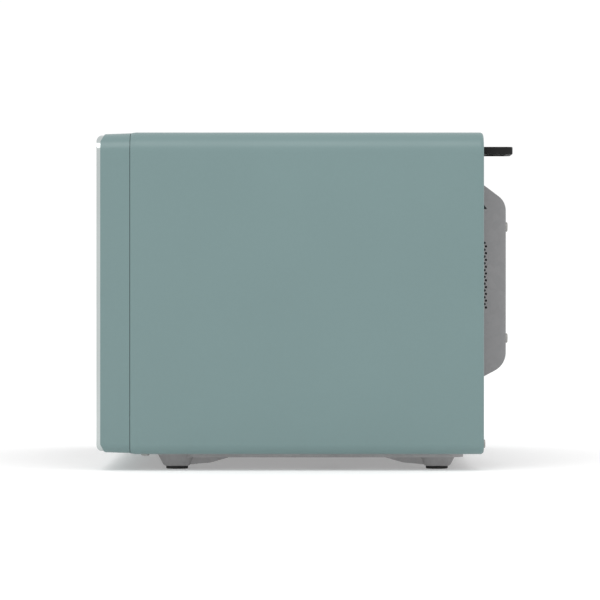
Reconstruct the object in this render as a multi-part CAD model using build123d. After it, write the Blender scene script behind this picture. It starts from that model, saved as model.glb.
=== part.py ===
from build123d import *
import math
import os

# Countertop microwave oven, in millimetres. +Z is up, the front faces -Y and the control panel is on
# the +X side. The origin is on the surface the oven stands on, under the middle of its overall box.

# ---- driving dimensions: overall ----
overall_width = 513.0
overall_height = 310.0
bezel_depth = 3.7            # bright trim in front of the painted front shells
shell_depth = 26.8           # painted shells of the door and the control panel
seam_gap = 0.5               # between the front shells and the cabinet
wrap_depth = 323.2
spacer_reach = 27.8          # wall spacer behind the cabinet

# ---- cabinet ----
sheet = 1.0
wrap_bottom = 15.1
wrap_top_radius = 19.0
wrap_bottom_radius = 9.0
wrap_rear_radius = 3.2
wrap_nose_length = 4.6       # the wrap's front edge draws in over this length
wrap_nose_inset = 0.7
rear_lip = 11.5              # return flange round the rear of the wrap
floor_lip = 21.5             # flange under the wrap, from its outer side
panel_clearance = 2.4        # rear panel inside the wrap, past the rounding of its rear edge
plate_thickness = 1.2        # front plate

# ---- front shells ----
front_taper = 0.9            # how much the front shells draw in towards the front, each side
shell_wall = 2.2
shell_flange = 2.0
panel_width = 118.0          # control panel, from the cabinet's side to the split
split_gap = 1.5
corner_cut_depth = 3.7       # slanted cut along the shells' top and bottom front edges
corner_cut_height = 7.3
side_cut_depth = 2.0
side_cut_width = 1.2
rim_round = 7.0              # roll of the trim over the top and bottom
rim_side_round = 2.6
rim_inset = 1.0
split_corner_radius = 4.0
door_ring_width = 9.0
panel_ring_width = 7.0
glass_thickness = 3.0

# ---- base and feet ----
pan_bottom = 11.3
pan_front = 78.0             # from the cabinet rim plane to the pan's front edge
pan_rear_margin = 17.0
pan_side_margin = 28.5
pan_corner_radius = 16.0
foot_front_setback = 72.1    # foot centre behind the trim's front plane
foot_rear_setback = 313.0
foot_side_margin = 51.5
foot_length = 39.0            # front to rear, where the boss leaves the base sheet
foot_width = 42.0
foot_lean = 28.0             # slope of the boss's sides, from upright
foot_boss_bottom = 2.8
foot_ramp_width = 27.0
pad_radius = 10.2
pad_stub_radius = 3.0

# ---- rear panel and its bulge ----
bulge_depth = 22.1
bulge_top_drop = 47.3        # below the top of the oven
bulge_bottom_rise = 85.4
bulge_right_margin = 24.5
bulge_width = 192.0
bulge_top_slope = 36.0
bulge_bottom_slope = 27.0
bulge_side_slope = 22.0
bulge_top_round = 17.0
bulge_bottom_round = 20.0
bulge_side_round = 8.0
side_hole_radius = 1.1
side_hole_pitch = 6.25
side_hole_rows = 10
vent_slot_width = 3.0
vent_slot_height = 21.0
vent_slot_pitch = 7.0

# ---- wall spacer and cord gland ----
spacer_thickness = 6.8
spacer_width = 46.0
spacer_top_drop = 12.9
spacer_side_margin = 24.5
gland_height = 112.0
gland_side_offset = 30.0     # from the bulge's root
gland_radius = 11.0
gland_bore_radius = 4.2

# ---- cavity ----
cavity_side_margin = 24.5    # from the cabinet's left side to the cavity's inner wall
cavity_flange = 33.5         # front plate between the cavity and the split
cavity_floor = 40.0
cavity_top_margin = 35.0
cavity_rear_margin = 10.7
cavity_corner = 6.0
port_height = 70.0
port_depth = 78.0

# ---- door ----
hinge_inset = 8.5            # hinge axis from the cabinet's left side
hinge_setback = 12.0         # hinge axis in front of the front plate
hinge_corner_radius = 10.0
pin_radius = 2.5
pin_clearance = 0.05
hinge_arm_half = 4.5
hinge_arm_thickness = 2.0
barrel_radius = 4.6
barrel_height = 8.5
choke_overlap = 11.0         # door frame ring outside the cavity opening
choke_width = 27.0
web_setback = 13.2           # perforated web behind the shell's front plane
cover_thickness = 1.6
cover_recess = 0.2
window_inset = 2.0
inner_pane_thickness = 2.0
screen_inset = 9.0           # perforated field inside the inner choke wall

# ---- latch ----
hook_side_gap = 16.5         # hook centre from the cavity's right wall plane
hook_thickness = 4.0
hook_height = 8.0
hook_reach = 23.7            # behind the door's back
beak = 4.0
lower_hook_z = 66.0
hook_top_drop = 74.0         # upper hook's underside below the top of the oven
ledge_clearance = 0.3
lever_pivot_setback = 6.8    # behind the front plate's front face
lever_radius = 3.0
lever_drop = 18.0            # pivot to the button's plunger
lever_reach = 13.0
button_travel = 6.0

# ---- controls ----
control_face = 0.4           # keys behind the trim's front plane
key_radius = 12.5
key_gap = 0.3
key_pitch_x = 51.0
key_pitch_z = 36.0
key_top_drop = 78.0
key_columns = 2
key_rows = 4
key_names = ("power", "clock", "defrost", "timer", "plus", "minus", "stop", "start")
button_length = 64.0
button_height = 26.0
board_setback = 10.8         # circuit board behind the shells' front plane
board_thickness = 1.6
lens_height = 30.0
lens_top_drop = 22.0

# ---- turntable ----
tray_wall_clearance = 13.5
roller_radius = 8.0
roller_width = 5.0
roller_circle = 96.0
axle_radius = 1.5
running_clearance = 0.05
contact_gap = 0.25
tray_thickness = 5.0
tray_rim_height = 13.0
coupler_stem_radius = 3.45

# ---- planes and places that follow ----
overall_depth = bezel_depth + shell_depth + seam_gap + wrap_depth + spacer_reach
half_width = overall_width / 2
y_rim = -overall_depth / 2
y_shell = y_rim + bezel_depth
y_door_back = y_shell + shell_depth
y_front = y_door_back + seam_gap
y_plate_back = y_front + plate_thickness
y_rear = y_front + wrap_depth
y_wall = y_rear + spacer_reach
y_panel = y_rear - 2 * sheet           # rear panel's inner face
base_top = wrap_bottom + 2 * sheet
base_floor = pan_bottom + sheet
split_x = half_width - panel_width
door_right = split_x - split_gap / 2
panel_left = split_x + split_gap / 2

cavity_left = -half_width + cavity_side_margin
cavity_right = split_x - cavity_flange
cavity_ceiling = overall_height - cavity_top_margin
cavity_back = y_rear - cavity_rear_margin
cavity_middle_x = (cavity_left + cavity_right) / 2
cavity_middle_y = (y_plate_back + cavity_back) / 2

hinge_x = -half_width + hinge_inset
hinge_y = y_front - hinge_setback
upper_arm_z = overall_height - 16.7
lower_arm_z = 28.0

bulge_right = half_width - bulge_right_margin
bulge_left = bulge_right - bulge_width
bulge_top = overall_height - bulge_top_drop
y_bulge = y_rear + bulge_depth
compartment_middle = (cavity_right + half_width) / 2
bulge_screw_x = (compartment_middle - 32.0, compartment_middle + 32.0)
bulge_screw_z = (bulge_bottom_rise + 35.6, bulge_top - 38.9)

foot_x = half_width - foot_side_margin
foot_front_y = y_rim + foot_front_setback
foot_rear_y = y_rim + foot_rear_setback

hook_x = cavity_right + hook_side_gap
upper_hook_z = overall_height - hook_top_drop
lever_y = y_front + lever_pivot_setback
lever_z = lower_hook_z + 2.0
lug_z = lower_hook_z + 6.0            # underside of the lug the lever lifts
bar_top = upper_hook_z + 16.0
spring_top = bar_top + 15.0
plunger_z = lever_z - lever_drop
panel_middle_x = (panel_left + half_width) / 2
plunger_x = panel_middle_x - 22.0
spring_x = panel_middle_x + 16.0
y_control = y_rim + control_face
y_board = y_shell + board_setback

# ---- small tools ----


def block(x0, x1, y0, y1, z0, z1):
    return Pos(x0, y0, z0) * Box(x1 - x0, y1 - y0, z1 - z0, align=(Align.MIN, Align.MIN, Align.MIN))


def rod_x(y, z, radius, x0, x1):
    return Plane((x0, y, z), z_dir=(1, 0, 0)) * Cylinder(
        radius, x1 - x0, align=(Align.CENTER, Align.CENTER, Align.MIN))


def rod_y(x, z, radius, y0, y1):
    return Plane((x, y0, z), z_dir=(0, 1, 0)) * Cylinder(
        radius, y1 - y0, align=(Align.CENTER, Align.CENTER, Align.MIN))


def rod_z(x, y, radius, z0, z1):
    return Pos(x, y, z0) * Cylinder(radius, z1 - z0, align=(Align.CENTER, Align.CENTER, Align.MIN))


# A closed outline with one radius for each point, or one for all.
def outline(points, radii=0.0):
    if isinstance(radii, (int, float)):
        radii = [radii] * len(points)
    return make_face(FilletPolyline(*points, radius=radii, close=True))


# A rectangle with its own radius at each corner.
def panel_face(x0, x1, z0, z1, top_left, top_right, bottom_right, bottom_left):
    points = [(x0, z0), (x1, z0), (x1, z1), (x0, z1)]
    return outline(points, [bottom_left, bottom_right, top_right, top_left])


def even_face(x0, x1, z0, z1, radius):
    return panel_face(x0, x1, z0, z1, radius, radius, radius, radius)


# Prisms: a (Y, Z) face along X, an (X, Z) face along Y and an (X, Y) face along Z.
def prism_x(face, x0, x1):
    return extrude(Plane((x0, 0, 0), x_dir=(0, 1, 0), z_dir=(1, 0, 0)) * face, amount=x1 - x0)


def prism_y(face, y0, y1):
    return extrude(Plane((0, y1, 0), x_dir=(1, 0, 0), z_dir=(0, -1, 0)) * face, amount=y1 - y0)


def prism_z(face, z0, z1):
    return extrude(Pos(0, 0, z0) * face, amount=z1 - z0)


# An (X, Z) face drawn towards the front from y1, shrinking by `inset` over its length.
def drawn_y(face, y0, y1, inset):
    plane = Plane((0, y1, 0), x_dir=(1, 0, 0), z_dir=(0, -1, 0))
    return extrude(plane * face, amount=y1 - y0, taper=math.degrees(math.atan(inset / (y1 - y0))))


def group(shapes):
    solids = []
    for shape in shapes:
        solids.extend(shape.solids())
    return Compound(children=solids)


def write(node, shape):
    solids = shape.solids()
    export_step(solids[0] if len(solids) == 1 else Compound(children=list(solids)),
                f"parts/{node}.step")


# A pan-head screw with a cross recess: the head stands from `seat` along `direction`.
def pan_screw(seat, direction, head_radius, head_height, shank_radius, shank_length):
    head = Cylinder(head_radius, head_height, align=(Align.CENTER, Align.CENTER, Align.MIN))
    head = fillet(head.edges().sort_by(Axis.Z)[-1], head_height * 0.7)
    cross_depth = head_height * 0.6
    cross = (Box(head_radius * 1.1, head_radius * 0.26, cross_depth)
             + Box(head_radius * 0.26, head_radius * 1.1, cross_depth))
    head -= Pos(0, 0, head_height - cross_depth / 2) * cross
    shank = Cylinder(shank_radius, shank_length, align=(Align.CENTER, Align.CENTER, Align.MAX))
    return Plane(seat, z_dir=direction) * (head + shank)


# ---- cabinet ----


def wrap_face(inset):
    return panel_face(-half_width + inset, half_width - inset,
                      wrap_bottom + inset, overall_height - inset,
                      wrap_top_radius - inset, wrap_top_radius - inset,
                      wrap_bottom_radius - inset, wrap_bottom_radius - inset)


def cabinet_wrap():
    y_nose = y_front + wrap_nose_length
    body = prism_y(wrap_face(0), y_nose, y_rear)
    body = fillet(body.faces().sort_by(Axis.Y)[-1].edges(), wrap_rear_radius)
    body += drawn_y(wrap_face(0), y_front, y_nose, wrap_nose_inset)
    hollow = prism_y(wrap_face(sheet), y_nose, y_rear - sheet)
    hollow = fillet(hollow.faces().sort_by(Axis.Y)[-1].edges(), wrap_rear_radius - sheet)
    hollow += drawn_y(wrap_face(sheet), y_front, y_nose, wrap_nose_inset)
    shell = body - hollow
    lip_edge = half_width - sheet - rear_lip
    shell -= prism_y(panel_face(-lip_edge, lip_edge, wrap_bottom - sheet,
                                overall_height - sheet - rear_lip, 8.0, 8.0, 0.0, 0.0),
                     y_rear - 2 * sheet, y_rear + sheet)
    slot = half_width - floor_lip
    shell -= block(-slot, slot, y_front - sheet, y_rear + sheet,
                   wrap_bottom - sheet, wrap_bottom + 2 * sheet)
    return shell


def front_plate():
    face = wrap_face(sheet + wrap_nose_inset)
    plate = prism_y(face, y_front, y_plate_back)
    through = (y_front - 1, y_plate_back + 1)
    plate -= prism_y(even_face(cavity_left, cavity_right, cavity_floor, cavity_ceiling,
                               cavity_corner), *through)
    for arm_z in (upper_arm_z, lower_arm_z):
        plate -= block(hinge_x - hinge_arm_half - 0.3, hinge_x + hinge_arm_half + 0.3, *through,
                       arm_z - 0.3, arm_z + hinge_arm_thickness + 0.3)
    for hook_z in (lower_hook_z, upper_hook_z):
        plate -= prism_y(latch_slot(hook_z), *through)
    plate -= prism_y(even_face(panel_left + 16.0, half_width - 12.0, lower_hook_z + 12.0,
                               overall_height - 26.0, 6.0), *through)
    plate -= rod_y(plunger_x, plunger_z, 5.0, *through)
    return plate


# The slot a hook passes, with room for its lift and for the swing of the opening door.
def latch_slot(hook_z):
    return even_face(hook_x - 4.5, hook_x + 8.5, hook_z - beak - 2.0, hook_z + hook_height + 6.0, 2.0)


def oven_cavity():
    body = block(cavity_left - sheet, cavity_right + sheet, y_plate_back, cavity_back + sheet,
                 cavity_floor - sheet, cavity_ceiling + sheet)
    hollow = prism_y(even_face(cavity_left, cavity_right, cavity_floor, cavity_ceiling, cavity_corner),
                     y_plate_back, cavity_back)
    body -= hollow
    body -= rod_z(cavity_middle_x, cavity_middle_y, 6.0, cavity_floor - 3, cavity_floor + 3)
    port = waveguide_port()
    body -= block(cavity_right - 3, cavity_right + 3, port[0], port[1], port[2], port[3])
    lamp_y, lamp_z = lamp_place()
    for row in range(5):
        for column in range(7):
            body -= rod_x(lamp_y + (column - 3) * 5.0, lamp_z + (row - 2) * 5.0, 1.5,
                          cavity_right - 3, cavity_right + 3)
    for row in range(4):
        for column in range(9):
            body -= rod_x(cavity_back - 30.0 - column * 6.0, cavity_ceiling - 24.0 - row * 6.0, 1.6,
                          cavity_left - 3, cavity_left + 3)
    return body


# The waveguide's port in the cavity's right wall: y and z limits.
def waveguide_port():
    port_z = cavity_floor + 125.0
    return (cavity_middle_y - port_depth / 2, cavity_middle_y + port_depth / 2,
            port_z, port_z + port_height)


def lamp_place():
    return cavity_back - 48.0, cavity_ceiling - 28.0


def base_plate():
    side = half_width - wrap_bottom_radius
    plate = block(-side, side, y_front + wrap_nose_length, y_rear - wrap_rear_radius,
                  base_top - sheet, base_top)
    middle = half_width - floor_lip - 0.5
    plate += block(-middle, middle, y_plate_back, y_front + wrap_nose_length,
                   base_top - sheet, base_top)
    plate += base_pan(0.0) + base_feet(0.0)
    plate -= base_pan(sheet) + base_feet(sheet)
    for side_sign in (-1, 1):
        plate -= rod_z(side_sign * foot_x, foot_front_y, pad_stub_radius, -1, 8)
        plate -= rod_z(side_sign * foot_x, foot_rear_y, pad_stub_radius, -1, 8)
    for column in range(12):
        x = panel_middle_x - 38.0 + column * 7.0
        plate -= block(x, x + vent_slot_width, y_rear - 150.0, y_rear - 128.0,
                       pan_bottom - 1, base_top + 1)
    return plate


def base_pan(inset):
    pan_side = half_width - pan_side_margin - inset
    face = even_face(-pan_side, pan_side, y_rim + pan_front + inset,
                     y_rear - pan_rear_margin - inset, pan_corner_radius)
    return prism_z(face, pan_bottom + inset, base_top + inset)


# A foot is a rounded boss with leaning sides and, behind it, a narrower ramp that runs out into the
# pan. `towards` is +1 where the ramp runs to the rear.
def foot_boss(x, y, inset):
    lean = math.radians(foot_lean)
    half_x = foot_width / 2 - inset / math.cos(lean)
    half_y = foot_length / 2 - inset / math.cos(lean)
    top = base_top + inset
    height = base_top - foot_boss_bottom
    face = even_face(x - half_x, x + half_x, -y - half_y, -y + half_y, 14.0 - inset)
    boss = extrude(Plane((0, 0, top), x_dir=(1, 0, 0), z_dir=(0, 0, -1)) * face,
                   amount=height, taper=foot_lean)
    return fillet(boss.edges().group_by(Axis.Z)[0], 3.0 - inset)


def foot_ramp(x, y, towards, inset):
    top = base_top + inset
    half = foot_ramp_width / 2 - inset
    points = [(0.0, top), (0.0, 4.2 + inset), (14.0, 4.2 + inset), (20.0, 5.0 + inset),
              (31.0, 5.8 + inset), (55.0, pan_bottom + 1.4 + inset), (55.0, top)]
    profile = outline([(y + towards * along, z) for along, z in points],
                      [0.0, 0.0, 4.0, 4.0, 26.0, 0.0, 0.0])
    cross = outline([(x - half, top), (x - half + 4.0, foot_boss_bottom), (x + half - 4.0, foot_boss_bottom),
                     (x + half, top)], [0.0, 3.0, 3.0, 0.0])
    return prism_x(profile, x - half, x + half) & prism_y(cross, y - 60.0, y + 60.0)


def base_feet(inset):
    total = None
    for x in (-foot_x, foot_x):
        for y, towards in ((foot_front_y, 1), (foot_rear_y, -1)):
            foot = foot_boss(x, y, inset) + foot_ramp(x, y, towards, inset)
            total = foot if total is None else total + foot
    return total


def foot_pads():
    pads = []
    for x in (-foot_x, foot_x):
        for y in (foot_front_y, foot_rear_y):
            pad = rod_z(x, y, pad_radius, 0, foot_boss_bottom)
            pad = chamfer(pad.edges().sort_by(Axis.Z)[0], 0.6)
            pads.append(pad + rod_z(x, y, pad_stub_radius, foot_boss_bottom, foot_boss_bottom + 3.5))
    return group(pads)


# The bulge's solid, drawn in by `inset` on every face, running deep enough to pass the panel.
def bulge_solid(inset):
    def drawn_in(slope, along):
        angle = math.radians(slope)
        return along * math.tan(angle) + inset / math.cos(angle)

    near, far = -14.0, bulge_depth - inset
    side_face = outline(
        [(y_rear + near, bulge_top - drawn_in(bulge_top_slope, near)),
         (y_rear + far, bulge_top - drawn_in(bulge_top_slope, far)),
         (y_rear + far, bulge_bottom_rise + drawn_in(bulge_bottom_slope, far)),
         (y_rear + near, bulge_bottom_rise + drawn_in(bulge_bottom_slope, near))],
        [0.0, bulge_top_round - inset, bulge_bottom_round - inset, 0.0])
    plan_face = outline(
        [(bulge_left + drawn_in(bulge_side_slope, near), y_rear + near),
         (bulge_left + drawn_in(bulge_side_slope, far), y_rear + far),
         (bulge_right - drawn_in(bulge_side_slope, far), y_rear + far),
         (bulge_right - drawn_in(bulge_side_slope, near), y_rear + near)],
        [0.0, bulge_side_round - inset, bulge_side_round - inset, 0.0])
    return prism_x(side_face, bulge_left - 20, bulge_right + 20) & prism_z(plan_face, 0, overall_height)


def rear_panel():
    flat = prism_y(wrap_face(sheet + panel_clearance), y_panel, y_rear - sheet)
    flat -= block(-half_width, half_width, y_panel - 1, y_rear + 1, 0, base_top)
    bulge = bulge_solid(0.0) & block(-half_width, half_width, y_panel, y_bulge + 1, 0, overall_height)
    panel = flat + bulge - bulge_solid(sheet)
    for row in range(side_hole_rows):
        z = bulge_top - 54.0 - row * side_hole_pitch
        for shift, back in ((0.0, 1.7), (side_hole_pitch / 2, 3.0)):
            panel -= rod_x(y_rear + back, z - shift, side_hole_radius, bulge_right - 15, bulge_right + 15)
    notch_z = bulge_top - 20.5
    notch = outline([(y_rear + 0.6, notch_z + 2.3), (y_rear + 0.6, notch_z - 2.3),
                     (y_rear + 4.0, notch_z - 2.3)])
    panel -= prism_x(notch, bulge_right - 15, bulge_right + 15)
    panel -= vent_slots()
    for x in bulge_screw_x:
        for z in bulge_screw_z:
            panel -= rod_y(x, z, 2.2, y_bulge - 5, y_bulge + 5)
    for row in range(5):
        for column in range(12):
            panel -= rod_y(-half_width + 60.0 + column * 6.0, overall_height - 90.0 - row * 6.0, 1.6,
                           y_panel - 1, y_rear + 1)
    spacer_x0, spacer_x1, spacer_z0, spacer_z1 = spacer_section()
    panel -= block(spacer_x0, spacer_x1, y_panel - 1, y_rear + 1, spacer_z0, spacer_z1)
    panel -= rod_y(bulge_left - gland_side_offset, gland_height, gland_radius - 3.0,
                   y_panel - 1, y_rear + 1)
    return panel


# Three rows of upright slots between the bulge's screws.
def vent_slots():
    left, right = bulge_left + 18.0, bulge_right - 18.0
    columns = int((right - left - vent_slot_width) // vent_slot_pitch) + 1
    start = (left + right - (columns - 1) * vent_slot_pitch) / 2
    middle = (bulge_screw_z[0] + bulge_screw_z[1]) / 2
    slots = None
    for row in (-1, 0, 1):
        z = middle + row * (vent_slot_height + 9.0)
        for column in range(columns):
            x = start + column * vent_slot_pitch
            half = vent_slot_width / 2
            slot = block(x - half, x + half, y_bulge - 4, y_bulge + 4,
                         z - vent_slot_height / 2, z + vent_slot_height / 2)
            slots = slot if slots is None else slots + slot
    return slots


def spacer_section():
    x1 = half_width - spacer_side_margin
    z1 = overall_height - spacer_top_drop
    return x1 - spacer_width, x1, z1 - spacer_thickness, z1


def wall_spacer():
    x0, x1, z0, z1 = spacer_section()
    bar = block(x0, x1, y_panel, y_wall, z0, z1)
    bar = fillet(bar.edges().filter_by(Axis.Z).sort_by(Axis.Y)[-2:], 6.0)
    bar = chamfer(bar.faces().sort_by(Axis.Y)[-1].edges().filter_by(Axis.X), 0.5)
    foot = block(x0 - 5, x1 + 5, y_panel - 2, y_panel, z0 - 4, z1 + 4)
    pocket = block(x0 + 5, x1 - 5, y_rear + 4, y_wall - 6, z0 - 1, z1 - 2.4)
    rib = block((x0 + x1) / 2 - 1, (x0 + x1) / 2 + 1, y_rear + 4, y_wall - 6, z0, z1 - 2.4)
    return bar + foot - pocket + rib


def cord_gland():
    x = bulge_left - gland_side_offset
    collar = rod_y(x, gland_height, gland_radius, y_rear - sheet, y_rear + 3.0)
    collar += rod_y(x, gland_height, gland_radius - 3.2, y_panel - 7.0, y_rear - sheet)
    collar += Plane((x, y_rear + 3.0, gland_height), z_dir=(0, 1, 0)) * Cone(
        gland_radius - 2.5, gland_radius - 5.0, 8.0, align=(Align.CENTER, Align.CENTER, Align.MIN))
    collar -= rod_y(x, gland_height, gland_bore_radius, y_panel - 8.0, y_rear + 12.0)
    return collar


def cabinet_screws():
    screws = []
    lip_middle = sheet + rear_lip / 2 - 0.5
    for x in (-half_width * 0.66, 0.0, half_width * 0.66):
        screws.append(pan_screw((x, y_rear, overall_height - lip_middle), (0, 1, 0), 3.9, 1.2, 1.6, 6.0))
    for x in (-half_width + lip_middle, half_width - lip_middle):
        screws.append(pan_screw((x, y_rear, wrap_bottom + 9.7), (0, 1, 0), 3.9, 1.2, 1.6, 6.0))
    for x in (-half_width + 15.5, half_width - 15.5):
        screws.append(pan_screw((x, y_rim + 44.2, wrap_bottom), (0, 0, -1), 3.9, 1.5, 1.6, 6.0))
    return screws


def screw_holes(shape, screws):
    for screw in screws:
        shape -= screw
    return shape


def bulge_screws():
    return [pan_screw((x, y_bulge, z), (0, 1, 0), 4.5, 1.8, 1.9, 7.0)
            for x in bulge_screw_x for z in bulge_screw_z]


def hinge_bracket(arm_z, pin_way):
    plate = block(hinge_x - hinge_arm_half, cavity_left - sheet - 0.8, y_plate_back,
                  y_plate_back + 1.5, arm_z - 12.0, arm_z + 12.0)
    plate &= prism_y(wrap_face(sheet + wrap_nose_inset + 0.6), y_plate_back, y_plate_back + 1.5)
    arm = block(hinge_x - hinge_arm_half, hinge_x + hinge_arm_half, hinge_y, y_plate_back + 1.5,
                arm_z, arm_z + hinge_arm_thickness)
    arm += rod_z(hinge_x, hinge_y, hinge_arm_half, arm_z, arm_z + hinge_arm_thickness)
    if pin_way < 0:
        pin = rod_z(hinge_x, hinge_y, pin_radius, arm_z - barrel_height - 1.0, arm_z)
    else:
        pin = rod_z(hinge_x, hinge_y, pin_radius, arm_z + hinge_arm_thickness,
                    arm_z + hinge_arm_thickness + barrel_height + 1.0)
    return plate + arm + pin


# ---- front shells and trim ----

front_half_width = half_width - wrap_nose_inset
front_low = wrap_bottom + 1.0
front_high = overall_height - wrap_nose_inset


# The whole front, drawn in towards the trim. At the back it follows the cabinet's front edge.
def front_blank(inset):
    face = panel_face(-front_half_width + inset, front_half_width - inset,
                      front_low + inset, front_high - inset,
                      wrap_top_radius - inset, wrap_top_radius - inset,
                      wrap_bottom_radius - inset, wrap_bottom_radius - inset)
    depth = shell_depth + bezel_depth
    return drawn_y(face, y_rim, y_door_back, front_taper * depth / shell_depth)


# The painted shell's solid between x0 and x1, with its slanted top and bottom front edges.
def painted_solid(x0, x1, inset):
    slope = corner_cut_height / corner_cut_depth
    drop = inset * math.hypot(1.0, slope)
    reach = corner_cut_depth + inset + 4.0
    top = front_high - front_taper
    low = front_low + front_taper
    front = y_shell + inset
    rise = (reach - inset) * slope
    upper = top - corner_cut_height + inset * slope - drop
    lower = low + corner_cut_height - inset * slope + drop
    profile = outline([(front, lower), (y_shell + reach, lower - rise), (y_door_back + 1, lower - rise),
                       (y_door_back + 1, upper + rise), (y_shell + reach, upper + rise), (front, upper)])
    solid = front_blank(inset) & prism_x(profile, x0 + inset, x1 - inset)
    return solid


# Chamfers the shell's two upright front edges in plan.
def side_cut(x0, x1, solid):
    plan = outline([(x0, y_door_back + 1), (x0, y_shell + side_cut_depth), (x0 + side_cut_width, y_shell),
                    (x1 - side_cut_width, y_shell), (x1, y_shell + side_cut_depth), (x1, y_door_back + 1)])
    return solid & prism_z(plan, 0, overall_height)


# The bright trim ring in front of a painted shell, rolled over the top and bottom.
def trim_ring(x0, x1, painted, opening, radii):
    low, high = front_low + rim_inset, front_high - rim_inset
    face = panel_face(x0 + rim_inset, x1 - rim_inset, low, high, *radii)
    front_y = y_rim
    depth = shell_depth + bezel_depth
    drawn = front_blank(rim_inset) & prism_y(face, y_rim, y_shell + corner_cut_depth)
    top = high - front_taper
    profile = outline([(front_y, low + front_taper), (y_shell + corner_cut_depth + 1, low + front_taper - 1),
                       (y_shell + corner_cut_depth + 1, top + 1), (front_y, top)],
                      [rim_round, 0.0, 0.0, rim_round])
    edge = front_taper * depth / shell_depth
    left = x0 + rim_inset + (edge if x0 < -front_half_width + 1 else 0.0)
    right = x1 - rim_inset - (edge if x1 > front_half_width - 1 else 0.0)
    plan = outline([(left, y_rim), (right, y_rim), (right, y_rim + 2 * rim_side_round),
                    (right + 2, y_shell + corner_cut_depth + 1), (left - 2, y_shell + corner_cut_depth + 1),
                    (left, y_rim + 2 * rim_side_round)],
                   [rim_side_round, rim_side_round, 0.0, 0.0, 0.0, 0.0])
    ring = drawn & prism_x(profile, x0 - 5, x1 + 5) & prism_z(plan, 0, overall_height)
    return ring - painted - prism_y(opening, y_rim - 1, y_shell + corner_cut_depth + 2)


def ring_opening(x0, x1, width):
    edge = front_taper
    left = x0 + width + (edge if x0 < -front_half_width + 1 else 0.0)
    right = x1 - width - (edge if x1 > front_half_width - 1 else 0.0)
    outer_top = wrap_top_radius - width
    outer_low = max(wrap_bottom_radius - width, 0.0) + 3.0
    inner = split_corner_radius - 1.0
    is_door = x0 < -front_half_width + 1
    radii = (outer_top, inner, inner, outer_low) if is_door else (inner, outer_top, outer_low, inner)
    return (left, right, front_low + edge + width, front_high - edge - width), radii


door_span = (-front_half_width, door_right)
panel_span = (panel_left, front_half_width)
door_opening_box, door_opening_radii = ring_opening(*door_span, door_ring_width)
panel_opening_box, panel_opening_radii = ring_opening(*panel_span, panel_ring_width)
door_opening = panel_face(*door_opening_box, *door_opening_radii)
panel_opening = panel_face(*panel_opening_box, *panel_opening_radii)

frame_left = cavity_left - choke_overlap
frame_right = cavity_right + choke_overlap
frame_low = cavity_floor - choke_overlap - 2.0
frame_high = cavity_ceiling + choke_overlap + 2.0
y_web = y_shell + web_setback
y_cover = y_door_back - cover_recess - cover_thickness
window_box = (frame_left + choke_width + window_inset, frame_right - choke_width - window_inset,
              frame_low + choke_width + window_inset, frame_high - choke_width - window_inset)
cover_left = hinge_x + hinge_arm_half + 0.4


def door_painted():
    solid = side_cut(*door_span, painted_solid(*door_span, 0.0))
    plan = outline([(-front_half_width, y_rim - 1), (door_right, y_rim - 1), (door_right, y_door_back),
                    (-front_half_width, y_door_back)], [0.0, 0.0, 0.0, hinge_corner_radius])
    return solid & prism_z(plan, 0, overall_height)


def door_shell(painted):
    inner = painted_solid(*door_span, shell_wall)
    inner_plan = outline([(-front_half_width + shell_wall, y_shell + shell_flange),
                          (door_right - shell_wall, y_shell + shell_flange),
                          (door_right - shell_wall, y_door_back - shell_wall),
                          (-front_half_width + shell_wall, y_door_back - shell_wall)],
                         [0.0, 0.0, 0.0, hinge_corner_radius - shell_wall])
    hollow = inner & prism_z(inner_plan, 0, overall_height)
    hollow += inner & block(cover_left, door_right, y_door_back - shell_wall - 1, y_door_back + 1,
                            0, overall_height)
    shell = painted - hollow
    shell -= prism_y(even_face(*window_box, 6.0), y_shell - 1, y_shell + shell_flange + 1)
    for arm_z in (upper_arm_z, lower_arm_z):
        shell -= block(-half_width - 1, hinge_x + hinge_arm_half + 0.3, hinge_y - 8.0, y_door_back + 1,
                       arm_z - 0.4, arm_z + hinge_arm_thickness + 0.4)
    shell += block(hook_x - 4.0, door_right - 1.0, y_cover - 7.0, y_cover - 0.3,
                   spring_top, spring_top + 2.5)
    for x in (frame_left + choke_width / 2, frame_right - choke_width / 2):
        for z in (frame_low + choke_width / 2, (frame_low + frame_high) / 2,
                  frame_high - choke_width / 2):
            shell += rod_y(x, z, 4.0, y_shell + shell_flange, y_web)
    return shell


def door_frame():
    outer = block(frame_left, frame_right, y_web, y_cover, frame_low, frame_high)
    outer -= block(frame_left + sheet, frame_right - sheet, y_web + sheet, y_cover,
                   frame_low + sheet, frame_high - sheet)
    inner_left, inner_right = frame_left + choke_width, frame_right - choke_width
    inner_low, inner_high = frame_low + choke_width, frame_high - choke_width
    wall = block(inner_left, inner_right, y_web, y_cover, inner_low, inner_high)
    wall -= block(inner_left + sheet, inner_right - sheet, y_web + sheet, y_cover,
                  inner_low + sheet, inner_high - sheet)
    frame = outer + wall
    frame -= block(inner_left + screen_inset, inner_right - screen_inset, y_web - 1, y_web + sheet + 1,
                   inner_low + screen_inset, inner_high - screen_inset)
    upper_top = upper_arm_z - 0.3
    lower_low = lower_arm_z + hinge_arm_thickness + 0.3
    for z0, z1 in ((upper_top - barrel_height, upper_top), (lower_low, lower_low + barrel_height)):
        frame += rod_z(hinge_x, hinge_y, barrel_radius, z0, z1)
        frame += block(hinge_x, frame_left + sheet, hinge_y - 2.5, hinge_y + 3.5, z0, z1)
        frame -= rod_z(hinge_x, hinge_y, pin_radius + pin_clearance, z0 - 1, z1 + 1)
    return frame


def choke_cover():
    cover = front_blank(shell_wall) & block(cover_left, door_right - shell_wall, y_cover,
                                            y_cover + cover_thickness, 0, overall_height)
    cover -= prism_y(even_face(*window_box, 5.0), y_cover - 1, y_door_back + 1)
    for hook_z in (lower_hook_z, upper_hook_z):
        cover -= prism_y(latch_slot(hook_z), y_cover - 1, y_door_back + 1)
    return cover


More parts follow.
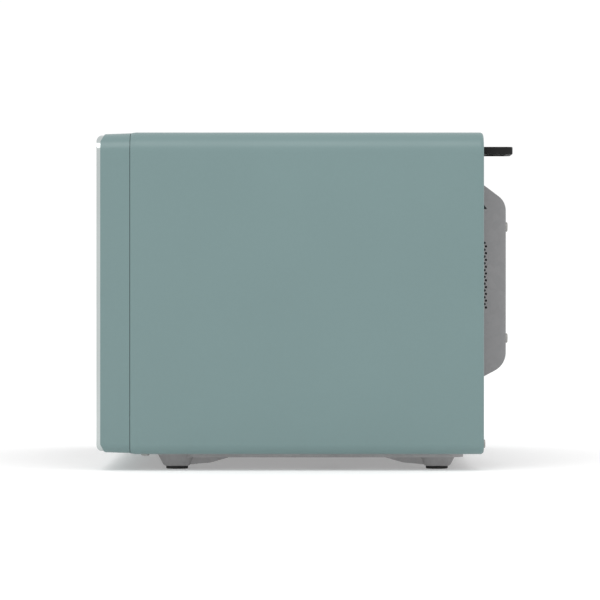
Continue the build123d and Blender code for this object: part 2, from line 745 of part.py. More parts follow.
def door_inner_window():
    return prism_y(even_face(frame_left + choke_width + sheet, frame_right - choke_width - sheet,
                             frame_low + choke_width + sheet, frame_high - choke_width - sheet, 0.5),
                   y_web + sheet, y_web + sheet + inner_pane_thickness)


def latch_hooks():
    half = hook_thickness / 2
    y_bar = y_cover - 0.3
    hooks = block(hook_x - 5, hook_x + 6, y_bar - 5.0, y_bar, lower_hook_z - 8.0, bar_top)
    tip = y_door_back + hook_reach
    for z in (lower_hook_z, upper_hook_z):
        arm = block(hook_x - half, hook_x + half, y_bar - 1, tip, z, z + hook_height)
        nose = outline([(tip - 6, z + 1), (tip - 6, z - beak), (tip - 2.5, z - beak), (tip, z + 1)],
                       [0.0, 0.8, 0.8, 0.0])
        hooks += arm + prism_x(nose, hook_x - half, hook_x + half)
    lug_y = lever_y + lever_reach
    hooks += block(hook_x + half - 1.0, hook_x + half + 4.4, lug_y - 3.0, lug_y, lug_z, lug_z + 2.0)
    return hooks


# A coil spring as a swept wire, standing along +Z from the origin.
def coil(radius, wire, length, turns):
    free = length - 2 * wire
    path = Helix(pitch=free / turns, height=free, radius=radius)
    profile = Plane(path @ 0, z_dir=path % 0) * Circle(wire)
    return Pos(0, 0, wire) * sweep(profile, path, is_frenet=True)


def latch_spring():
    return Pos(hook_x + 0.5, y_cover - 2.8, bar_top) * coil(2.0, 0.35, spring_top - bar_top, 7)


# ---- latch bracket, switches and release lever ----

bracket_x = hook_x + 12.0


def latch_bracket():
    bracket = block(bracket_x, bracket_x + 2.5, y_plate_back, y_plate_back + 42.0,
                    lower_hook_z - 14.0, upper_hook_z + 24.0)
    bracket += block(bracket_x, bracket_x + 16.0, y_plate_back, y_plate_back + 2.0,
                     lower_hook_z - 14.0, upper_hook_z + 24.0)
    for z in (lower_hook_z, upper_hook_z):
        ledge_top = z - beak - ledge_clearance
        bracket += block(hook_x - 3.0, bracket_x, y_plate_back, y_plate_back + 22.0,
                         ledge_top - 3.0, ledge_top)
    window = (lower_hook_z + 40.0, upper_hook_z - 30.0)
    bracket -= block(bracket_x - 1, bracket_x + 4, y_plate_back + 10.0, y_plate_back + 34.0, *window)
    bracket -= rod_x(lever_y, lever_z, lever_radius + running_clearance, bracket_x - 2, bracket_x + 6)
    bracket -= block(bracket_x + 2.5, bracket_x + 17, y_plate_back - 1, y_plate_back + 3.0,
                     lever_z - lever_drop - 3, lever_z + 5)
    return bracket


def interlock_switches():
    switches = []
    y0 = y_plate_back + 24.0
    for z in (lower_hook_z - 3.0, upper_hook_z - 6.0, upper_hook_z + 8.0):
        body = block(bracket_x - 10.0, bracket_x, y0, y0 + 18.0, z, z + 10.0)
        body += block(bracket_x - 6.5, bracket_x - 3.5, y0 - 1.4, y0, z + 2.0, z + 5.0)
        for step in (3.0, 9.0, 15.0):
            body += block(bracket_x - 13.0, bracket_x - 10.0, y0 + step - 1.2, y0 + step + 1.2,
                          z + 4.6, z + 5.4)
        switches.append(body)
    return group(switches)


def release_lever():
    arm_start = hook_x + hook_thickness / 2 + 1.4
    lever = rod_x(lever_y, lever_z, lever_radius, arm_start, plunger_x + 6.0)
    lever += block(arm_start, arm_start + 3.0, lever_y, lever_y + lever_reach + 0.1,
                   lever_z - 1.5, lug_z - 0.3)
    lever += block(plunger_x - 5.0, plunger_x + 5.0, lever_y - 1.5, lever_y + 1.5,
                   lever_z - lever_drop - 4.0, lever_z)
    return lever


# ---- control panel ----


def panel_painted():
    return side_cut(*panel_span, painted_solid(*panel_span, 0.0))


def panel_posts():
    left, right = panel_left + 8.2, front_half_width - 8.3
    board = [(x, z) for x in (left, right) for z in (board_low + 6.0, board_high - 6.0)]
    plate = [(x, z) for x in (left, right) for z in (30.0, overall_height - 13.5)]
    return board, plate


board_low = lower_hook_z + 12.0
board_high = overall_height - 20.0


def panel_housing(painted):
    shell = painted - (painted_solid(*panel_span, shell_wall)
                       & block(panel_left, half_width, y_shell + shell_flange, y_door_back, 0,
                               overall_height))
    x0, x1, z0, z1 = panel_opening_box
    shell -= prism_y(even_face(x0 + 4, x1 - 4, z0 + 4, z1 - 4, 4.0), y_shell - 1,
                     y_shell + shell_flange + 1)
    board_posts, plate_posts = panel_posts()
    for x, z in board_posts:
        shell += rod_y(x, z, 2.6, y_shell + shell_flange, y_board)
    for x, z in plate_posts:
        shell += rod_y(x, z, 2.6, y_shell + shell_flange, y_front)
    return shell


def key_places():
    top = overall_height - key_top_drop
    return [(panel_middle_x + (column - (key_columns - 1) / 2) * key_pitch_x, top - row * key_pitch_z)
            for row in range(key_rows) for column in range(key_columns)]


def lens_box(margin):
    x0, x1, _, _ = panel_opening_box
    z1 = overall_height - lens_top_drop
    return x0 + 12.0 - margin, x1 - 12.0 + margin, z1 - lens_height - margin, z1 + margin


def button_face(grow):
    half_length, half_height = button_length / 2 + grow, button_height / 2 + grow
    return even_face(panel_middle_x - half_length, panel_middle_x + half_length,
                     plunger_z - half_height, plunger_z + half_height, 6.0 + grow)


y_glass = y_shell - glass_thickness


def panel_fascia():
    fascia = prism_y(panel_opening, y_glass, y_shell)
    for x, z in key_places():
        fascia -= rod_y(x, z, key_radius + key_gap, y_glass - 1, y_shell + 1)
    fascia -= prism_y(button_face(key_gap), y_glass - 1, y_shell + 1)
    fascia -= prism_y(even_face(*lens_box(0.1), 3.1), y_glass - 1, y_shell + 1)
    return fascia


def display_window():
    lens = prism_y(even_face(*lens_box(0.0), 3.0), y_glass + 0.2, y_shell)
    return lens + prism_y(even_face(*lens_box(2.0), 4.0), y_shell, y_shell + 1.4)


key_stem_end = y_board - 4.4
switch_top = key_stem_end + 0.9


def key_cap(x, z):
    cap = rod_y(x, z, key_radius, y_control, y_shell + 0.1)
    cap = fillet(cap.edges().sort_by(Axis.Y)[0], 1.4)
    cap += rod_y(x, z, key_radius + 2.5, y_shell + 0.1, y_shell + 1.6)
    return cap + rod_y(x, z, 3.0, y_shell + 1.6, key_stem_end)


def control_board():
    board = block(panel_left + 4.2, half_width - 5.0, y_board, y_board + board_thickness,
                  board_low, board_high)
    x0, x1, z0, z1 = lens_box(2.0)
    board += block(x0, x1, y_shell + 1.9, y_board, z0, z1)
    for x, z in key_places():
        board += block(x - 3, x + 3, y_board - 2.5, y_board, z - 3, z + 3)
        board += rod_y(x, z, 1.7, switch_top, y_board - 2.5)
    back = y_board + board_thickness
    for x, z, wide, tall, deep in ((-30, 30, 18, 15, 12), (-6, 30, 18, 15, 12), (24, 34, 26, 24, 13),
                                   (-26, 70, 12, 30, 9), (10, 84, 22, 8, 5), (28, 120, 10, 10, 12),
                                   (-20, 124, 30, 12, 4)):
        board += block(panel_middle_x + x, panel_middle_x + x + wide, back, back + deep,
                       board_low + z, board_low + z + tall)
    return board


def door_button():
    body = prism_y(button_face(0.0), y_control, y_shell + 0.1)
    body = fillet(body.faces().sort_by(Axis.Y)[0].edges(), 1.2)
    body += prism_y(button_face(1.6), y_shell + 0.1, y_shell + 1.8)
    body += prism_y(button_face(-4.0), y_shell + 1.8, y_shell + 6.0)
    nose = lever_y - 1.5 - 0.2 - 2.0
    body += rod_y(plunger_x, plunger_z, 2.6, y_shell + 6.0, nose)
    body += block(plunger_x - 2.0, plunger_x + 2.0, nose - 1.0, nose, plunger_z - 1.8, plunger_z + 1.8)
    body += rod_x(nose, plunger_z, 1.9, plunger_x - 2.0, plunger_x + 2.0)
    body += rod_y(spring_x, plunger_z, 2.6, y_shell + 6.0, y_shell + 12.0)
    return body


def button_spring():
    start = y_shell + 6.0
    wire = coil(4.0, 0.45, y_front - start, 6)
    return Plane((spring_x, start, plunger_z), z_dir=(0, 1, 0)) * wire


# ---- microwave parts ----


def waveguide():
    y0, y1, z0, z1 = waveguide_port()
    x0 = cavity_right + sheet
    margin = 8.0
    duct = block(x0, x0 + 38.0, y0 - margin, y1 + margin, z0 - margin, z1 + margin)
    duct -= block(x0 - 1, x0 + 37.0, y0 - margin + 1, y1 + margin - 1, z0 - margin + 1, z1 + margin - 1)
    duct -= rod_x(magnetron_y(), magnetron_z(), 11.0, x0 + 30, x0 + 40)
    return duct


def waveguide_cover():
    y0, y1, z0, z1 = waveguide_port()
    face = outline([(y0 - 10, z0 - 12), (y1 + 10, z0 - 12), (y1 + 10, z1 + 12), (y0 - 10, z1 + 12)], 3.0)
    return prism_x(face, cavity_right - 0.6, cavity_right)


def magnetron_y():
    y0, y1, _, _ = waveguide_port()
    return (y0 + y1) / 2 + 4.0


def magnetron_z():
    _, _, z0, z1 = waveguide_port()
    return (z0 + z1) / 2


def magnetron():
    x0 = cavity_right + sheet + 38.0
    y, z = magnetron_y(), magnetron_z()
    yoke = block(x0, x0 + 56.0, y - 42.0, y + 42.0, z - 33.0, z + 33.0)
    yoke -= block(x0 + 1.6, x0 + 54.4, y - 43.0, y + 43.0, z - 31.4, z + 31.4)
    tube = rod_x(y, z, 17.0, x0 + 1.6, x0 + 54.4)
    for fin in range(9):
        x = x0 + 9.0 + fin * 4.2
        tube += block(x, x + 0.8, y - 40.0, y + 40.0, z - 31.4, z + 31.4)
    antenna = rod_x(y, z, 7.0, x0 - 24.0, x0 + 1.6)
    filter_box = block(x0 + 56.0, x0 + 88.0, y - 24.0, y + 24.0, z - 24.0, z + 24.0)
    return yoke + tube + antenna + filter_box


transformer_x = half_width - 96.0
transformer_y = y_front + 100.0


def transformer_core():
    core = block(transformer_x, transformer_x + 66.0, transformer_y, transformer_y + 82.0,
                 base_floor, base_floor + 70.0)
    for side in (transformer_y + 18.0, transformer_y + 50.0):
        core -= block(transformer_x - 1, transformer_x + 67.0, side, side + 14.0,
                      base_floor + 16.0, base_floor + 54.0)
    return core


def transformer_windings():
    middle = transformer_y + 41.0
    outer = block(transformer_x - 13.0, transformer_x + 79.0, middle - 22.5, middle + 22.5,
                  base_floor + 16.5, base_floor + 53.5)
    outer = fillet(outer.edges().filter_by(Axis.Z), 8.0)
    outer -= block(transformer_x, transformer_x + 66.0, middle - 9.0, middle + 9.0,
                   base_floor + 15.0, base_floor + 56.0)
    return outer


capacitor_x = half_width - 78.0
capacitor_y = transformer_y + 92.0


def hv_capacitor():
    face = even_face(capacitor_x - 17.0, capacitor_x + 17.0, base_floor + 1.0, base_floor + 53.0, 16.5)
    can = prism_y(face, capacitor_y + 6.0, capacitor_y + 68.0)
    for z in (base_floor + 18.0, base_floor + 36.0):
        can += rod_y(capacitor_x, z, 3.5, capacitor_y, capacitor_y + 6.0)
    return can


def capacitor_clamp():
    outer = even_face(capacitor_x - 18.2, capacitor_x + 18.2, base_floor, base_floor + 54.2, 17.5)
    inner = even_face(capacitor_x - 17.0, capacitor_x + 17.0, base_floor + 1.0, base_floor + 53.0, 16.5)
    y0, y1 = capacitor_y + 28.0, capacitor_y + 46.0
    band = prism_y(outer, y0, y1) - prism_y(inner, y0 - 1, y1 + 1)
    return band + block(capacitor_x - 32.0, capacitor_x - 10.0, y0, y1, base_floor, base_floor + 1.0)


def hv_diode():
    body = rod_x(capacitor_y + 3.0, base_floor + 4.0, 4.0, capacitor_x - 42.0, capacitor_x - 24.0)
    return body + rod_x(capacitor_y + 3.0, base_floor + 4.0, 0.7, capacitor_x - 24.0, capacitor_x - 19.0)


fan_x = compartment_middle
fan_z = (bulge_screw_z[0] + bulge_screw_z[1]) / 2
fan_radius = 43.0
fan_blades = 5
fan_shaft_radius = 2.0
y_fan = y_rear - 36.0


def fan_shroud():
    x0, x1 = fan_x - fan_radius - 6.0, fan_x + fan_radius + 6.0
    shroud = block(x0, x1, y_fan, y_fan + 2.0, fan_z - fan_radius - 6.0, fan_z + fan_radius + 6.0)
    shroud -= rod_y(fan_x, fan_z, fan_radius + 2.5, y_fan - 1, y_fan + 3)
    ring = rod_y(fan_x, fan_z, fan_radius + 4.5, y_fan - 12.0, y_fan + 2.0)
    shroud += ring - rod_y(fan_x, fan_z, fan_radius + 2.5, y_fan - 13.0, y_fan + 3.0)
    low_arm, high_arm = bulge_screw_z
    arms = []
    for z in (low_arm, high_arm):
        arms.append(block(bulge_screw_x[0] - 5.0, bulge_screw_x[1] + 5.0, y_fan + 2.0, y_fan + 4.0,
                          z - 5.0, z + 5.0))
        for x in bulge_screw_x:
            arms.append(rod_y(x, z, 4.5, y_fan + 4.0, y_bulge - sheet))
    for arm in arms:
        shroud += arm
    for angle in (45, 135, 225, 315):
        a = math.radians(angle)
        x, z = fan_x + 26.0 * math.cos(a), fan_z + 26.0 * math.sin(a)
        shroud += rod_y(x, z, 2.5, y_fan + 4.0, y_fan + 16.0)
    for side in (-26.0 * math.cos(math.pi / 4), 26.0 * math.cos(math.pi / 4)):
        shroud += block(fan_x + side - 3.5, fan_x + side + 3.5, y_fan + 2.0, y_fan + 4.0,
                        low_arm, high_arm)
    return shroud


def fan_motor():
    half = 24.0
    core = block(fan_x - half, fan_x + half, y_fan + 16.0, y_fan + 30.0, fan_z - half, fan_z + half)
    coil_block = block(fan_x - 15.0, fan_x + 15.0, y_fan + 12.0, y_fan + 34.0,
                       fan_z - half - 2.0, fan_z - 8.0)
    bearing = rod_y(fan_x, fan_z, 8.0, y_fan + 9.0, y_fan + 37.0)
    shaft = rod_y(fan_x, fan_z, fan_shaft_radius, y_fan - 9.6, y_fan + 9.0)
    return core + coil_block + bearing + shaft


def fan_blade():
    fan = rod_y(fan_x, fan_z, 9.0, y_fan - 12.0, y_fan + 1.4)
    for index in range(fan_blades):
        blade = Plane((fan_x, y_fan - 5.2, fan_z), x_dir=(1, 0, 0), z_dir=(0, 1, 0)) * (
            Rot(0, 0, 360.0 / fan_blades * index) * Pos(25.0, 0, 0) * Rot(28, 0, 0)
            * Box(34.0, 24.0, 1.4))
        fan += blade & rod_y(fan_x, fan_z, fan_radius, y_fan - 14.0, y_fan + 8.0)
    return fan - rod_y(fan_x, fan_z, fan_shaft_radius + running_clearance, y_fan - 10.0, y_fan + 2.0)


def noise_filter_board():
    x0, y0 = cavity_right - 80.0, cavity_back - 75.0
    top = cavity_ceiling + sheet
    board = block(x0, x0 + 66.0, y0, y0 + 52.0, top + 6.0, top + 7.6)
    for x in (x0 + 5.0, x0 + 61.0):
        for y in (y0 + 5.0, y0 + 47.0):
            board += rod_z(x, y, 2.5, top, top + 6.0)
    board += rod_z(x0 + 22.0, y0 + 26.0, 11.0, top + 7.6, top + 20.0)
    board += block(x0 + 40.0, x0 + 58.0, y0 + 12.0, y0 + 24.0, top + 7.6, top + 18.0)
    return board + block(x0 + 40.0, x0 + 60.0, y0 + 30.0, y0 + 36.0, top + 7.6, top + 13.6)


def thermal_cutouts():
    x, top = cavity_middle_x + 60.0, cavity_ceiling + sheet
    on_top = rod_z(x, cavity_middle_y, 8.0, top, top + 5.0)
    on_top += rod_z(x, cavity_middle_y, 5.5, top + 5.0, top + 9.0)
    wall, z = cavity_right + sheet, cavity_floor + 30.0
    on_side = rod_x(cavity_middle_y + 76.0, z, 8.0, wall, wall + 5.0)
    on_side += rod_x(cavity_middle_y + 76.0, z, 5.5, wall + 5.0, wall + 9.0)
    return group([on_top, on_side])


def lamp_holder():
    y, z = lamp_place()
    x0 = cavity_right + sheet
    holder = block(x0, x0 + 32.0, y - 19.0, y + 19.0, z - 16.0, z + 16.0)
    holder -= block(x0 - 1, x0 + 30.5, y - 17.5, y + 17.5, z - 14.5, z + 14.5)
    return holder + rod_x(y, z, 9.0, x0 + 24.0, x0 + 30.5)


def cavity_lamp():
    y, z = lamp_place()
    x0 = cavity_right + sheet
    bulb = rod_x(y, z, 8.0, x0 + 3.0, x0 + 19.0)
    bulb = fillet(bulb.edges().filter_by(GeomType.CIRCLE), 6.0)
    return bulb + rod_x(y, z, 5.5, x0 + 14.0, x0 + 24.0)


# ---- turntable ----

tray_radius = min(cavity_right - cavity_left, cavity_back - y_plate_back) / 2 - tray_wall_clearance
roller_low = cavity_floor + contact_gap
axle_z = roller_low + roller_radius
tray_low = roller_low + 2 * roller_radius + contact_gap
motor_top = cavity_floor - sheet


def turntable_motor():
    x, y = cavity_middle_x, cavity_middle_y
    body = rod_z(x, y, 25.0, motor_top - 15.0, motor_top)
    body += block(x - 32.0, x + 32.0, y - 7.0, y + 7.0, motor_top - 1.5, motor_top)
    body += block(x - 12.0, x + 12.0, y + 20.0, y + 32.0, motor_top - 12.0, motor_top - 3.0)
    return body - rod_z(x, y, coupler_stem_radius + running_clearance, motor_top - 12.0, motor_top + 1)


def turntable_coupler():
    x, y = cavity_middle_x, cavity_middle_y
    hub = rod_z(x, y, 9.0, cavity_floor + 1.0, tray_low)
    for angle in (90, 210, 330):
        arm = Box(20.0, 9.0, 8.0, align=(Align.MIN, Align.CENTER, Align.MAX))
        hub += Pos(x, y, tray_low) * Rot(0, 0, angle) * arm
    return hub + rod_z(x, y, coupler_stem_radius, motor_top - 10.0, cavity_floor + 1.0)


def glass_tray():
    low = 0.0
    profile = outline([(0, low), (tray_radius - 26, low), (tray_radius, tray_rim_height - 3.0),
                       (tray_radius, tray_rim_height), (tray_radius - 4.0, tray_rim_height),
                       (tray_radius - 28.0, tray_thickness), (0, tray_thickness)],
                      [0, 30.0, 1.4, 1.4, 1.8, 24.0, 0])
    dish = revolve(Plane.XZ * profile, axis=Axis.Z)
    dish = Pos(cavity_middle_x, cavity_middle_y, tray_low) * dish
    return dish


ring_half = 4.0
axle_start = roller_circle - roller_width / 2 - 0.3


def at_turntable(angle, shape):
    return Pos(cavity_middle_x, cavity_middle_y, axle_z) * Rot(0, 0, angle) * shape


def roller_ring():
    x, y = cavity_middle_x, cavity_middle_y
    ring = rod_z(x, y, axle_start, axle_z - 2.5, axle_z + 2.5)
    ring -= rod_z(x, y, axle_start - 2 * ring_half, axle_z - 4, axle_z + 4)
    for index in range(3):
        pin = rod_x(0, 0, axle_radius, axle_start - 1.0, roller_circle + roller_width / 2 + 0.3)
        cap = rod_x(0, 0, 2.6, roller_circle + roller_width / 2 + 0.3,
                    roller_circle + roller_width / 2 + 1.8)
        ring += at_turntable(120 * index, pin + cap)
    return ring


def roller(index):
    wheel = rod_x(0, 0, roller_radius, roller_circle - roller_width / 2, roller_circle + roller_width / 2)
    wheel = fillet(wheel.edges().filter_by(GeomType.CIRCLE), 0.6)
    wheel -= rod_x(0, 0, axle_radius + running_clearance, 0, 2 * roller_circle)
    return at_turntable(120 * index, wheel)


# ---- build ----

os.makedirs("parts", exist_ok=True)

cabinet_fixings = cabinet_screws()
wrap = screw_holes(cabinet_wrap(), cabinet_fixings)
write("cabinet_wrap", wrap)
write("front_plate", front_plate())
write("oven_cavity", oven_cavity())
write("base_plate", screw_holes(base_plate(), cabinet_fixings))
write("foot_pads", foot_pads())
write("rear_panel", screw_holes(rear_panel(), cabinet_fixings))
write("wall_spacer", wall_spacer())
write("cord_gland", cord_gland())
write("cabinet_screws", group(cabinet_fixings))
write("bulge_screws", group(bulge_screws()))
write("hinge_bracket_upper", hinge_bracket(upper_arm_z, -1))
write("hinge_bracket_lower", hinge_bracket(lower_arm_z, 1))

door_outer = door_painted()
write("door_shell", door_shell(door_outer))
write("door_bezel", trim_ring(*door_span, door_outer, door_opening,
                              (wrap_top_radius, split_corner_radius, split_corner_radius,
                               wrap_bottom_radius)))
write("door_glass", prism_y(door_opening, y_glass, y_shell))
write("door_frame", door_frame())
write("choke_cover", choke_cover())
write("door_inner_window", door_inner_window())
write("latch_hooks", latch_hooks())
write("latch_spring", latch_spring())

write("latch_bracket", latch_bracket())
write("interlock_switches", interlock_switches())
write("release_lever", release_lever())

panel_outer = panel_painted()
write("panel_housing", panel_housing(panel_outer))
write("panel_bezel", trim_ring(*panel_span, panel_outer, panel_opening,
                               (split_corner_radius, wrap_top_radius, wrap_bottom_radius,
                                split_corner_radius)))
write("panel_fascia", panel_fascia())
write("display_window", display_window())
write("control_board", control_board())
write("door_button", door_button())
write("button_spring", button_spring())
for name, place in zip(key_names, key_places()):
    write(f"key_{name}", key_cap(*place))

write("waveguide", waveguide())
write("waveguide_cover", waveguide_cover())
write("magnetron", magnetron())
write("transformer_core", transformer_core())
write("transformer_windings", transformer_windings())
write("hv_capacitor", hv_capacitor())
write("capacitor_clamp", capacitor_clamp())
write("hv_diode", hv_diode())
write("fan_shroud", screw_holes(fan_shroud(), bulge_screws()))
write("fan_motor", fan_motor())
write("fan_blade", fan_blade())
write("noise_filter_board", noise_filter_board())
write("thermal_cutouts", thermal_cutouts())
write("lamp_holder", lamp_holder())
write("cavity_lamp", cavity_lamp())

write("turntable_motor", turntable_motor())
write("turntable_coupler", turntable_coupler())
write("glass_tray", glass_tray())
write("roller_ring", roller_ring())
for number in (1, 2, 3):
    write(f"roller_{number}", roller(number - 1))
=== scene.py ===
import math
import bmesh
import bpy
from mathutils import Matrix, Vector


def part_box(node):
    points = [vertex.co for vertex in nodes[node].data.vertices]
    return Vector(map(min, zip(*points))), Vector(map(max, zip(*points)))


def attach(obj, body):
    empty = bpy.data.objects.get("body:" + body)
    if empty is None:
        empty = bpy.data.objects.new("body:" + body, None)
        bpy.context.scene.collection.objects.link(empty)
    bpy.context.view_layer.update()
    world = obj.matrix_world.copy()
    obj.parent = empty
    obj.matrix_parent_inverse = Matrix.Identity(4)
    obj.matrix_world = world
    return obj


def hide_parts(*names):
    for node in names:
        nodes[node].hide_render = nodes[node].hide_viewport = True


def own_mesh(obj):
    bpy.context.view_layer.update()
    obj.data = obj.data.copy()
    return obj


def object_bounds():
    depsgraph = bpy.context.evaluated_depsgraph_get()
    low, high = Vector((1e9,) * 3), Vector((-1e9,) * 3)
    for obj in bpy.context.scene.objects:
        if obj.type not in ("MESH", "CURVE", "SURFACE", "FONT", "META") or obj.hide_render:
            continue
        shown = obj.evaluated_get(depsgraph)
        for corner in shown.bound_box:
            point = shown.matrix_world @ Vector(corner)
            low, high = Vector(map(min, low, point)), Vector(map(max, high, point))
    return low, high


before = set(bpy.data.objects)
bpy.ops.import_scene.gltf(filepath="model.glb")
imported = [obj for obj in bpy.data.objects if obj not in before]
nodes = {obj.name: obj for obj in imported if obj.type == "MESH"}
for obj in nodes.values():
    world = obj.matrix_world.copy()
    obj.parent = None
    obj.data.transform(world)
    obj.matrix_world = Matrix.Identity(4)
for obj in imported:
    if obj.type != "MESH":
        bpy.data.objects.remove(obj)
cadLow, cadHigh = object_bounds()
print("frame loaded:", len(nodes), "nodes")


def placeObject(name, data):
    item = bpy.data.objects.new(name, data)
    bpy.context.scene.collection.objects.link(item)
    return item


# ---- small helpers for node trees ----

def addNode(tree, kind, settings=None, **values):
    node = tree.nodes.new(kind)
    for name, value in (settings or {}).items():
        setattr(node, name, value)
    for name, value in values.items():
        node.inputs[name.replace("_", " ")].default_value = value
    return node


def join(tree, source, output, target, inlet):
    tree.links.new(source.outputs[output], target.inputs[inlet])


def newGroup(name, inputs, outputs):
    tree = bpy.data.node_groups.new(name, "ShaderNodeTree")
    for label, kind, start in inputs:
        socket = tree.interface.new_socket(label, in_out="INPUT", socket_type=kind)
        socket.default_value = start
    for label, kind in outputs:
        tree.interface.new_socket(label, in_out="OUTPUT", socket_type=kind)
    return tree, tree.nodes.new("NodeGroupInput"), tree.nodes.new("NodeGroupOutput")


def scaledNoise(tree, entry, factor, detail, stretch=None):
    # noise whose frequency is the group's Scale times a fixed factor
    times = addNode(tree, "ShaderNodeMath", {"operation": "MULTIPLY"})
    times.inputs[1].default_value = factor
    join(tree, entry, "Scale", times, 0)
    noise = addNode(tree, "ShaderNodeTexNoise", Detail=detail)
    join(tree, times, 0, noise, "Scale")
    if stretch:
        mapping = addNode(tree, "ShaderNodeMapping")
        mapping.inputs["Scale"].default_value = stretch
        join(tree, entry, "Position", mapping, "Vector")
        join(tree, mapping, 0, noise, "Vector")
    else:
        join(tree, entry, "Position", noise, "Vector")
    return noise


def ranged(tree, source, output, low, high, toLow=0.0, toHigh=1.0):
    node = addNode(tree, "ShaderNodeMapRange", From_Min=low, From_Max=high, To_Min=toLow,
                   To_Max=toHigh)
    join(tree, source, output, node, "Value")
    return node


def blend(tree, first, second, share):
    node = addNode(tree, "ShaderNodeMix", {"data_type": "FLOAT"}, Factor=share)
    join(tree, first, 0, node, "A")
    join(tree, second, 0, node, "B")
    return node


positionInput = ("Position", "NodeSocketVector", (0.0, 0.0, 0.0))
scaleInput = ("Scale", "NodeSocketFloat", 1.0)


def newSurface(name):
    # every surface takes a place and a scale, and gives a colour mix and a height
    return newGroup(name, [positionInput, scaleInput],
                    [("Mottle", "NodeSocketFloat"), ("Height", "NodeSocketFloat")])


def paintSkinGroup():
    # cloudy colour drift, fine pigment speckle and the orange peel of a sprayed coat
    tree, entry, leave = newSurface("paintSkin")
    clouds = scaledNoise(tree, entry, 9.0, 3.0)
    fine = scaledNoise(tree, entry, 420.0, 2.0)
    mixed = blend(tree, clouds, fine, 0.35)
    spread = ranged(tree, mixed, 0, 0.32, 0.68)
    peel = scaledNoise(tree, entry, 260.0, 1.0)
    join(tree, spread, 0, leave, "Mottle")
    join(tree, peel, 0, leave, "Height")
    return tree


def drawnGrainGroup():
    # rolling or brushing lines that run along the slow axis of Stretch
    tree, entry, leave = newSurface("drawnGrain")
    lines = scaledNoise(tree, entry, 60.0, 4.0, (1.0, 22.0, 22.0))
    clouds = scaledNoise(tree, entry, 14.0, 2.0)
    mixed = blend(tree, lines, clouds, 0.4)
    spread = ranged(tree, mixed, 0, 0.3, 0.7)
    join(tree, spread, 0, leave, "Mottle")
    join(tree, lines, 0, leave, "Height")
    return tree


def spangleGroup():
    # the crystal patches of a zinc coat, with faint rolling marks
    tree, entry, leave = newSurface("zincSpangle")
    times = addNode(tree, "ShaderNodeMath", {"operation": "MULTIPLY"})
    times.inputs[1].default_value = 210.0
    join(tree, entry, "Scale", times, 0)
    warp = scaledNoise(tree, entry, 120.0, 2.0)
    bend = addNode(tree, "ShaderNodeMix", {"data_type": "VECTOR"}, Factor=0.012)
    join(tree, entry, "Position", bend, 4)
    join(tree, warp, 1, bend, 5)
    crystals = addNode(tree, "ShaderNodeTexVoronoi", Randomness=1.0)
    join(tree, bend, 1, crystals, "Vector")
    join(tree, times, 0, crystals, "Scale")
    tone = addNode(tree, "ShaderNodeSeparateColor")
    join(tree, crystals, "Color", tone, 0)
    clouds = scaledNoise(tree, entry, 16.0, 3.0)
    mixed = blend(tree, tone, clouds, 0.55)
    join(tree, mixed, 0, leave, "Mottle")
    join(tree, warp, 0, leave, "Height")
    return tree


def mouldedGroup():
    # spark-eroded texture of moulded plastic and rubber
    tree, entry, leave = newSurface("mouldedGrain")
    pits = scaledNoise(tree, entry, 1500.0, 2.0)
    clouds = scaledNoise(tree, entry, 30.0, 3.0)
    mixed = blend(tree, pits, clouds, 0.5)
    spread = ranged(tree, mixed, 0, 0.34, 0.66)
    join(tree, spread, 0, leave, "Mottle")
    join(tree, pits, 0, leave, "Height")
    return tree


def handledGroup():
    # faint wiping marks and settled dust, for roughness
    tree, entry, leave = newGroup("wipeMarks", [positionInput, scaleInput], [("Marks",
                                                                              "NodeSocketFloat")])
    streaks = scaledNoise(tree, entry, 22.0, 5.0, (1.0, 1.0, 3.2))
    specks = scaledNoise(tree, entry, 900.0, 1.0)
    low = ranged(tree, streaks, 0, 0.42, 0.78)
    dots = ranged(tree, specks, 0, 0.66, 0.8)
    total = addNode(tree, "ShaderNodeMath", {"operation": "MAXIMUM"})
    join(tree, low, 0, total, 0)
    join(tree, dots, 0, total, 1)
    join(tree, total, 0, leave, "Marks")
    return tree


surfaces = {
    "paint": paintSkinGroup(),
    "drawn": drawnGrainGroup(),
    "zinc": spangleGroup(),
    "moulded": mouldedGroup(),
}
wipeMarks = handledGroup()


def finish(name, surface, color, deep, rough, roughWorn, depth=0.00002, scale=1.0, **shader):
    # one material: colour drifts between two tones, marks change the gloss, the grain lifts the normal
    material = bpy.data.materials.new(name)
    material.use_nodes = True
    tree = material.node_tree
    bsdf = tree.nodes["Principled BSDF"]
    place = addNode(tree, "ShaderNodeTexCoord")
    skin = addNode(tree, "ShaderNodeGroup", {"node_tree": surfaces[surface]}, Scale=scale)
    marks = addNode(tree, "ShaderNodeGroup", {"node_tree": wipeMarks}, Scale=scale)
    join(tree, place, "Object", skin, "Position")
    join(tree, place, "Object", marks, "Position")
    tone = addNode(tree, "ShaderNodeMix", {"data_type": "RGBA"})
    tone.inputs[6].default_value = (*deep, 1.0)
    tone.inputs[7].default_value = (*color, 1.0)
    join(tree, skin, "Mottle", tone, 0)
    tree.links.new(tone.outputs[2], bsdf.inputs["Base Color"])
    gloss = ranged(tree, marks, "Marks", 0.0, 1.0, rough, roughWorn)
    join(tree, gloss, 0, bsdf, "Roughness")
    bump = addNode(tree, "ShaderNodeBump", Strength=1.0, Distance=depth)
    join(tree, skin, "Height", bump, "Height")
    join(tree, bump, 0, bsdf, "Normal")
    for label, value in shader.items():
        bsdf.inputs[label.replace("_", " ")].default_value = value
    return material


def dress(material, *names):
    for name in names:
        mesh = nodes[name].data
        mesh.materials.clear()
        mesh.materials.append(material)


def tint(color, factor):
    return tuple(part * factor for part in color)


